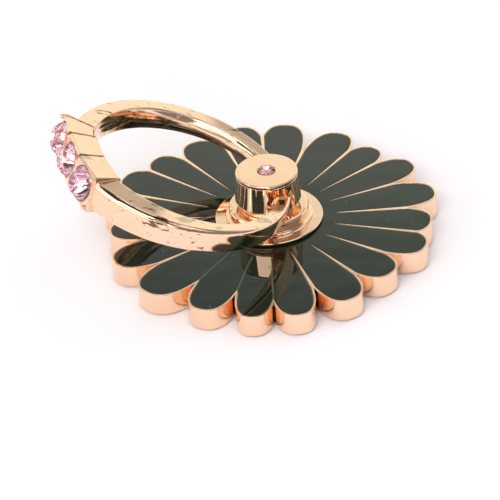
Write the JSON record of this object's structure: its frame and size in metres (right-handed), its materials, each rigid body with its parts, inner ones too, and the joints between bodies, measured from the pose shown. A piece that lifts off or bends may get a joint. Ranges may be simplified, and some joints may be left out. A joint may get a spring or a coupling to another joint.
{
  "type": "phone ring holder",
  "caption": "Stick-on phone ring holder: enamelled daisy plate with a turning pivot head and a folding oval finger ring that ends in a set of round stones.",
  "frame": {"origin": "centre of the adhesive face, on the swivel axis", "axes": "+Z away from the phone along the swivel axis, the ring lies towards -X at rest, the ring's hinge runs along Y"},
  "size_m": [0.0443, 0.0408, 0.017],
  "materials": {
    "plated_metal": "polished rose-gold plating over zinc alloy",
    "enamel": "glossy dark green poured enamel",
    "adhesive_foam": "matt foam tape",
    "steel": "plain steel, hidden inside",
    "crystal": "faceted pale pink crystal with a foil back"
  },
  "bodies": {
    "base": {"base_plate": "plated_metal", "enamel_fill": "enamel", "swivel_seat": "plated_metal", "adhesive_pad": "adhesive_foam", "spring_washer": "steel"},
    "spinner": {"pivot_head": "plated_metal", "head_cap": "plated_metal", "cap_stone": "crystal", "hinge_pin": "steel", "retaining_washer": "steel"},
    "ring": {"finger_ring": "plated_metal", "ring_stone_rear": "crystal", "ring_stone_middle": "crystal", "ring_stone_front": "crystal"}
  },
  "joints": [
    {"name": "swivel", "type": "hinge", "parent": "base", "child": "spinner", "pos_m": [0, 0, 0.005], "axis": [0, 0, 1], "continuous": true},
    {"name": "ring_flip", "type": "hinge", "parent": "spinner", "child": "ring", "pos_m": [0.001, 0, 0.0066], "axis": [0, 1, 0], "range_deg": [-20.9, 159.1]}
  ]
}
